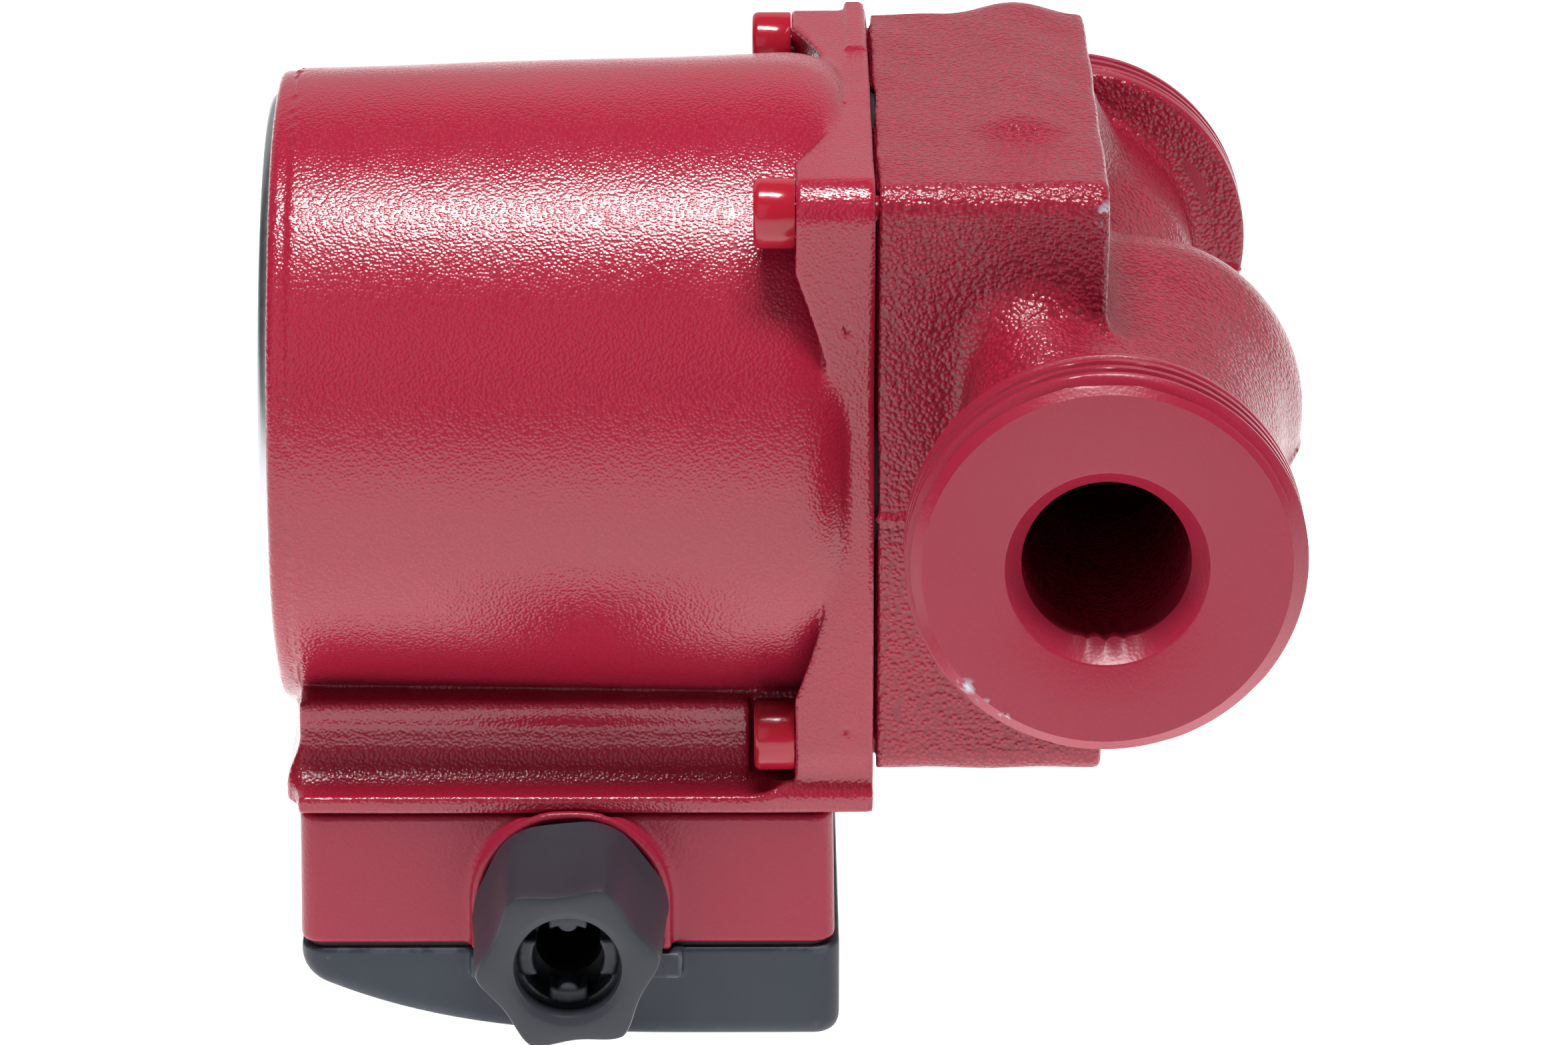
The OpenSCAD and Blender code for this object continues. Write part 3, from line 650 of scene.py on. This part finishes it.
# Motor
RIM_R = 39.75
SHOULDER_X, SHOULDER_R, SHOULDER_LEN = -38.0, 41.6, 7.6
SHOULDER_ROOT_R = 38.2
FLANGE_HALF = 38.5
SEAT_X = -36.7                   # face that the screw heads sit on
SEAT_END_X = -42.3
COUNTERBORE_R = 5.5
CLEARANCE_HOLE_R = 2.75
PEDESTAL_LEN = 71.0
PEDESTAL_LOW = -42.9
MOTOR_BORE_R = 37.0
SPIGOT_R = 33.0
WIRE_HOLE_X = -64.0


def motor_field(x, y, z):
    r = np.hypot(y, z)
    rim_x, joint_x = MOTOR_LOW[0], MOTOR_HIGH[0]
    taper = RIM_R + (x - rim_x) * (SHOULDER_R - RIM_R) / (SHOULDER_X - rim_x)
    band = 0.30 * (x < rim_x + 2.5)
    shoulder = np.sqrt(np.maximum(0.0, 1.0 - (np.maximum(x - SHOULDER_X, 0.0) / SHOULDER_LEN) ** 2))
    radius = np.minimum(taper, SHOULDER_ROOT_R + (SHOULDER_R - SHOULDER_ROOT_R) * shoulder) - band
    shell = blend_meet(r - radius, slab(x, rim_x, joint_x), 1.3)
    square = round_rect(y, z, FLANGE_HALF, FLANGE_HALF, 4.8)
    # The flange's back is a cone, thin in the middle of each side and full at the screws.
    cone = (-31.2 - x - 0.647 * (r - FLANGE_HALF)) * 0.84
    flange = blend_meet(square, blend_meet(np.maximum(cone, SEAT_X - x), x - joint_x, 0.3), 0.6)
    solid = fillet_union(shell, flange, 0.8)
    sprue = round_box(x, y, z, (-29.9, 17.0, 30.0), (-27.4, 37.0, 38.95), 0.3)
    solid = np.minimum(solid, sprue)
    along = slab(x, joint_x - PEDESTAL_LEN, joint_x)
    post = blend_meet(round_rect(y, z + 45.0, 31.5, 14.4, 0.9), along, 0.9)
    pad = round_box(x, y, z, (joint_x - PEDESTAL_LEN, -38.0, PEDESTAL_LOW), (joint_x, 38.0, -40.6), 0.5)
    solid = blend_union(solid, post, 0.9)
    solid = fillet_union(solid, pad, 5.6)
    solid = blend_meet(solid, slab(z, PEDESTAL_LOW, 60.0), 0.3)
    solid = blend_meet(solid, x - joint_x, 0.3)
    for sy in (-1, 1):
        for sz in (-1, 1):
            near = np.hypot(y - sy * SCREW_OFFSET, z - sz * SCREW_OFFSET)
            solid = blend_cut(solid, np.maximum(near - COUNTERBORE_R, slab(x, SEAT_END_X, SEAT_X)), 0.3)
            solid = np.maximum(solid, CLEARANCE_HOLE_R - near)
    # Ejector dimples on the flange's near side.
    for spot_z in (-31.5, 20.5):
        dimple = np.sqrt((x + 30.4) ** 2 + (y + 38.7) ** 2 + (z - spot_z) ** 2) - 0.55
        solid = blend_cut(solid, dimple, 0.3)
    # Bore, spigot for the bearing plate, and the wires' hole.
    for radius, low, high in ((MOTOR_BORE_R, -120.0, -34.0), (SPIGOT_R, -36.0, 0.0),
                              (MOTOR_BORE_R, -29.4, 0.0)):
        solid = np.maximum(solid, -np.maximum(r - radius, slab(x, low, high)))
    solid = np.maximum(solid, -np.maximum(np.hypot(x - WIRE_HOLE_X, y) - 8.0, slab(z, -60.0, -30.0)))
    wave = np.sin(x * 0.17 + y * 0.09) * np.sin(y * 0.19 - z * 0.11)
    return solid + 0.05 * wave


def build_motor_housing():
    add_piece("motor_casting", [cast(motor_field, MOTOR_LOW, MOTOR_HIGH, STEP)],
              "motor_red", "pump", ("motor_housing",))


GLAND_X, GLAND_Z = -64.4, -54.3
ARCH_R = 12.4
BOX_HEIGHT = 17.2
BOSS_R = 9.8
GLAND_HOLE_R = 8.0
COVER_HEIGHT = 12.4
COVER_RISE = 8.6                 # how far the cover's underside rises to its thin end
COVER_DEEP = 14.6                # length of the cover's flat deep end
COVER_WALL = 2.2
KNOB_AT = (-46.0, 12.0)
POST_AT = (-88.0, 22.0)


def terminal_box_field(x, y, z):
    low, high = BOX_LOW, BOX_HIGH
    z_top = GASKET_LOW[2]
    z_low = z_top - BOX_HEIGHT
    half_x, half_y, mid_x = (high[0] - low[0]) / 2, high[1], (low[0] + high[0]) / 2
    outer = round_rect(x - mid_x, y, half_x - 0.012 * np.abs(z - z_low), half_y, 2.8)
    solid = blend_meet(outer, slab(z, z_low, z_top), 0.7)
    across = np.hypot(x - GLAND_X, z - GLAND_Z)
    ring = np.hypot(x - GLAND_X, np.maximum(z - GLAND_Z, 0.0))
    arch = blend_meet(ring - ARCH_R, slab(y, low[1], -half_y + 3.0), 0.7)
    arch = blend_meet(arch, slab(z, z_low, high[2]), 0.3)
    # The boss is dished round the gland, which leaves a raised lip.
    arch = blend_cut(arch, np.maximum(ring - ARCH_R + 1.2, y + half_y + 0.7), 0.3)
    solid = fillet_union(solid, arch, 1.0)
    solid = np.maximum(solid, slab(z, z_low, high[2]))
    # Nothing but the arch's lip stands above the box's roof, in front of the pedestal.
    solid = np.maximum(solid, np.minimum(z - z_top, y + half_y + 0.9))
    solid = np.minimum(solid, np.maximum(across - BOSS_R, slab(y, low[1] + 0.8, -half_y + 2.4)))
    inner = round_rect(x - mid_x, y, half_x - 2.6, half_y - 2.4, 1.6)
    from_post = np.hypot(x - POST_AT[0], y - POST_AT[1])
    hollow = blend_cut(np.maximum(inner, slab(z, -80.0, z_top - 2.4)), from_post - 4.0, 0.8)
    solid = blend_cut(solid, hollow, 0.4)
    solid = np.maximum(solid, -np.maximum(from_post - 2.2, slab(z, -80.0, -50.0)))
    solid = blend_cut(solid, np.maximum(across - GLAND_HOLE_R, slab(y, -60.0, -20.0)), 0.4)
    solid = np.maximum(solid, 7.5 - np.hypot(x - WIRE_HOLE_X, y))
    for sx in (-90.0, -40.0):
        for sy in (-30.0, 30.0):
            solid = np.maximum(solid, 2.1 - np.hypot(x - sx, y - sy))
    return solid


def cover_field(x, y, z):
    low, high = np.array(COVER_LOW), np.array(COVER_HIGH)
    z_low = high[2] - COVER_HEIGHT
    x_deep = high[0] - COVER_DEEP
    length = x_deep - low[0]
    part = np.clip((x_deep - x) / length, 0.0, 1.2)
    rise = COVER_RISE * part ** 3
    slope = 3 * COVER_RISE * part ** 2 / length
    under = (z_low + rise - z) / np.sqrt(1 + slope ** 2)
    half_y = high[1]
    mid_x, half_x = (low[0] + high[0]) / 2, (high[0] - low[0]) / 2
    plan = round_rect(x - mid_x, y, half_x, half_y, 3.2)
    solid = blend_meet(plan, under, 2.4)
    solid = blend_meet(solid, z - high[2], 0.5)
    plan_in = round_rect(x - mid_x, y, half_x - COVER_WALL, half_y - COVER_WALL, 1.6)
    solid = blend_cut(solid, np.maximum(plan_in, under + COVER_WALL), 0.3)
    pad = round_box(x, y, z, (GLAND_X - ARCH_R - 0.2, low[1], high[2] - 3.4),
                    (GLAND_X + ARCH_R + 1.4, -half_y + 3.0, high[2]), 0.4)
    solid = fillet_union(solid, pad, 0.4)
    across = np.hypot(x - GLAND_X, np.minimum(z - GLAND_Z, 0.0))
    solid = np.maximum(solid, -np.maximum(across - 10.4, y + half_y - 5.9))
    knob = np.hypot(x - KNOB_AT[0], y - KNOB_AT[1])
    solid = blend_union(solid, np.maximum(knob - 11.0, slab(z, z_low + 1.0, z_low + 6.0)), 0.3)
    solid = blend_cut(solid, np.maximum(knob - 9.5, z - z_low - 3.6), 0.5)
    solid = np.maximum(solid, 4.0 - knob)
    post = np.hypot(x - POST_AT[0], y - POST_AT[1])
    solid = blend_union(solid, np.maximum(post - 4.0, slab(z, z_low + 5.2, z_low + 11.6)), 0.3)
    solid = blend_cut(solid, np.maximum(post - 3.8, z - z_low - 7.6), 0.4)
    return np.maximum(solid, 2.1 - post)


def build_terminal_box():
    add_piece("terminal_box_shell", [cast(terminal_box_field, BOX_LOW, BOX_HIGH, FINE_STEP)],
              "box_red", "pump", ("terminal_box",))
    add_piece("terminal_cover_shell", [cast(cover_field, COVER_LOW, COVER_HIGH, FINE_STEP)],
              "black_plastic", "cover", ("terminal_cover",))


# ---------------------------------------------------------------- turned and moulded pieces

def hexagon(across_flats):
    """Radius of a hexagon as a function of the angle."""
    def radius(angle):
        local = (angle + math.pi / 6) % (math.pi / 3) - math.pi / 6
        return across_flats / 2 / np.cos(local)
    return radius


def build_flange_screws():
    head_x, seat_x = SCREW_LOW[0], SCREW_LOW[0] + 5.0
    head_r = 4.25
    shells = []
    for sy in (-1, 1):
        for sz in (-1, 1):
            rows = [(0, SCREW_HIGH[0]), (1.9, SCREW_HIGH[0]), (2.2, SCREW_HIGH[0] - 0.4), (2.2, seat_x),
                    (head_r - 0.15, seat_x), (head_r, seat_x - 0.2), (head_r, head_x + 0.75),
                    (head_r - 0.1, head_x + 0.4), (head_r - 0.35, head_x + 0.12), (head_r - 0.7, head_x),
                    (hexagon(4.5), head_x), (hexagon(4.2), head_x + 0.25), (hexagon(4.1), head_x + 2.4),
                    (0, head_x + 2.9)]
            at = (0, sy * SCREW_OFFSET, sz * SCREW_OFFSET)
            shells.append(revolve(rows, "X", at, 96, turn=0.4 * sy + sz))
    screws = add_piece("cap_screws", shells, "screw_red", "pump", ("flange_screws",))
    crease(screws, 40.0)


def build_end_plate():
    rim = MOTOR_LOW[0]
    plate = add_piece("dished_end_plate", [revolve([
        (5.3, rim + 1.8), (5.3, rim + 0.7), (12.6, rim + 0.65), (13.6, rim + 0.4), (16.4, rim - 0.2),
        (17.4, rim - 0.45), (31.0, rim - 0.95), (35.9, rim - 1.1), (36.2, rim - 1.02), (36.7, rim - 0.55),
        (36.95, rim + 0.3), (36.95, rim + 3.0), (36.0, rim + 3.0), (35.9, rim + 0.2), (33.0, rim),
        (17.0, rim + 0.8), (13.0, rim + 1.8)][::-1],
        "X", segments=160)], "bright_steel", "pump", ("end_plate",))
    crease(plate, 40.0)


def gland_profile(corner_r, flat_r, hollow=0.55):
    """Hexagon with round corners and slightly hollow flats; a flat faces angle 0."""
    def radius(angle):
        local = np.abs((angle + math.pi / 6) % (math.pi / 3) - math.pi / 6)
        side = flat_r / np.cos(local) - hollow * (1.0 - (local / (math.pi / 6)) ** 2) ** 2
        return -np.log(np.exp(-3.0 * side) + np.exp(-3.0 * corner_r)) / 3.0
    return radius


def build_gland_nut():
    low, high = cad("gland_nut")
    front, back = low[1], high[1]
    rows = [(8.1, back), (8.1, front + 3.0), (6.45, front + 2.6), (6.35, front + 1.0), (6.6, front + 0.45),
            (7.3, front + 0.12), (7.7, front), (gland_profile(10.85, 9.75), front),
            (gland_profile(11.25, 10.05), front + 0.16), (gland_profile(11.45, 10.2), front + 0.55),
            (gland_profile(11.6, 10.35), front + 2.0), (gland_profile(12.1, 11.0), back - 5.0),
            (gland_profile(12.25, 11.4, 0.35), back - 2.2), (gland_profile(12.1, 11.6, 0.1), back - 0.7),
            (gland_profile(11.6, 11.3, 0.0), back - 0.1), (10.2, back)]
    shell = revolve(rows[::-1], "Y", (GLAND_X, 0, GLAND_Z), 240, turn=math.radians(-6))
    nut = add_piece("gland_nut_body", [shell], "gland_plastic", "gland_lock", ("gland_nut",))
    crease(nut, 38.0)


def clamp_field(x, y, z):
    """Collet ring with four pads that close on the cable."""
    front = CLAMP_LOW[1]
    u, w = x - GLAND_X, z - GLAND_Z
    r = np.hypot(u, w)
    ring = np.maximum(slab(r, 5.9, 7.5), slab(y, front + 0.3, CLAMP_HIGH[1]))
    turned = np.arctan2(w, u)
    local = np.abs((turned + math.pi / 4) % (math.pi / 2) - math.pi / 4) * r
    pad = blend_meet(slab(r, 4.35, 6.1), slab(y, front, CLAMP_HIGH[1] - 0.2), 0.35)
    pad = blend_meet(pad, local - 2.45, 0.5)
    nub = blend_meet(np.hypot(u, np.abs(w) - 4.7) - 1.35, slab(y, front + 0.2, CLAMP_HIGH[1] - 1.4), 0.3)
    groove = np.maximum(np.abs(y - front - 1.7) - 0.3, 4.7 - r)
    return np.minimum(ring, blend_union(blend_cut(pad, groove, 0.2), nub, 0.2))


def vent_field(x, y, z):
    """Slotted vent screw with a rounded head."""
    r = np.hypot(y, z)
    head_x = VENT_LOW[0]
    dome = np.hypot(np.maximum(r - 6.3, 0.0) / 1.2, np.maximum(head_x + 1.15 - x, 0.0)) - 1.15
    solid = blend_meet(np.maximum(dome, r - 7.5), x - head_x - 1.1, 0.15)
    shank = blend_meet(r - 4.95, slab(x, head_x + 0.6, VENT_HIGH[0]), 0.5)
    return blend_cut(np.minimum(solid, shank), np.maximum(np.abs(z) - 0.8, x - head_x - 0.75), 0.12)


def knob_field(x, y, z):
    """Selector knob with a grip bar and a knurled rim."""
    u, v = x - KNOB_AT[0], y - KNOB_AT[1]
    r = np.hypot(u, v)
    z0 = KNOB_LOW[2]
    rim = 8.95 - 0.16 * (0.5 + 0.5 * np.cos(36 * np.arctan2(v, u)))
    disc = blend_meet(r - rim, slab(z, z0 + 3.4, z0 + 7.6), 0.5)
    bar = round_box(u, v, z, (-1.75, -7.7, z0), (1.75, 7.7, z0 + 5.0), 0.6)
    stem = np.maximum(r - 3.55, slab(z, z0 + 7.0, KNOB_HIGH[2]))
    mark = np.maximum(np.hypot(u, v - 6.2) - 0.6, z - z0 - 0.35)
    return np.minimum(blend_cut(fillet_union(disc, bar, 0.5), mark, 0.15), stem)


def cover_screw_field(x, y, z):
    r = np.hypot(x - POST_AT[0], y - POST_AT[1])
    z0 = SLOTTED_LOW[2]
    head = blend_meet(r - 3.4, slab(z, z0, z0 + 2.5), 0.45)
    shank = np.maximum(r - 1.8, slab(z, z0 + 2.0, SLOTTED_HIGH[2]))
    return blend_cut(np.minimum(head, shank), np.maximum(np.abs(y - POST_AT[1]) - 0.5, z - z0 - 1.2), 0.12)


CLAMP_LOW, CLAMP_HIGH = cad("gland_clamp")
VENT_LOW, VENT_HIGH = cad("vent_screw")
KNOB_LOW, KNOB_HIGH = cad("speed_knob")
SLOTTED_LOW, SLOTTED_HIGH = cad("cover_screw")


def build_small_pieces():
    for name, field, box, step, slot, body, node in (
            ("collet_fingers", clamp_field, (CLAMP_LOW, CLAMP_HIGH), 0.22,
             "gland_plastic", "pump", "gland_clamp"),
            ("vent_plug", vent_field, (VENT_LOW, VENT_HIGH), 0.28, "chrome", "vent", "vent_screw"),
            ("selector_knob", knob_field, (KNOB_LOW, KNOB_HIGH), 0.30,
             "black_plastic", "selector", "speed_knob"),
            ("slotted_screw", cover_screw_field, (SLOTTED_LOW, SLOTTED_HIGH), 0.22,
             "steel", "cover_fixing", "cover_screw")):
        piece = add_piece(name, [cast(field, box[0], box[1], step)], slot, body, (node,))
        crease(piece, 50.0)


# ---------------------------------------------------------------- the scene

scene = bpy.context.scene
scene.view_settings.view_transform = "Standard"
add_camera()
add_world(WORLD_GLOW)
add_area_light("top_softbox", (-60, -150, 900), (0.5, 0.16), 13.0)
add_area_light("back_panel", (0, 950, 420), (2.6, 0.9), 3.5)
add_area_light("side_panel", (950, 250, 380), (0.9, 0.9), 2.0, (10.0, 0.0, 0.0))
add_area_light("front_fill", (-500, -900, 500), (0.8, 0.8), 1.2)
add_floor()

dress_cad_nodes()
build_pump_housing()
build_motor_housing()
build_terminal_box()
build_flange_screws()
build_end_plate()
build_gland_nut()
build_small_pieces()
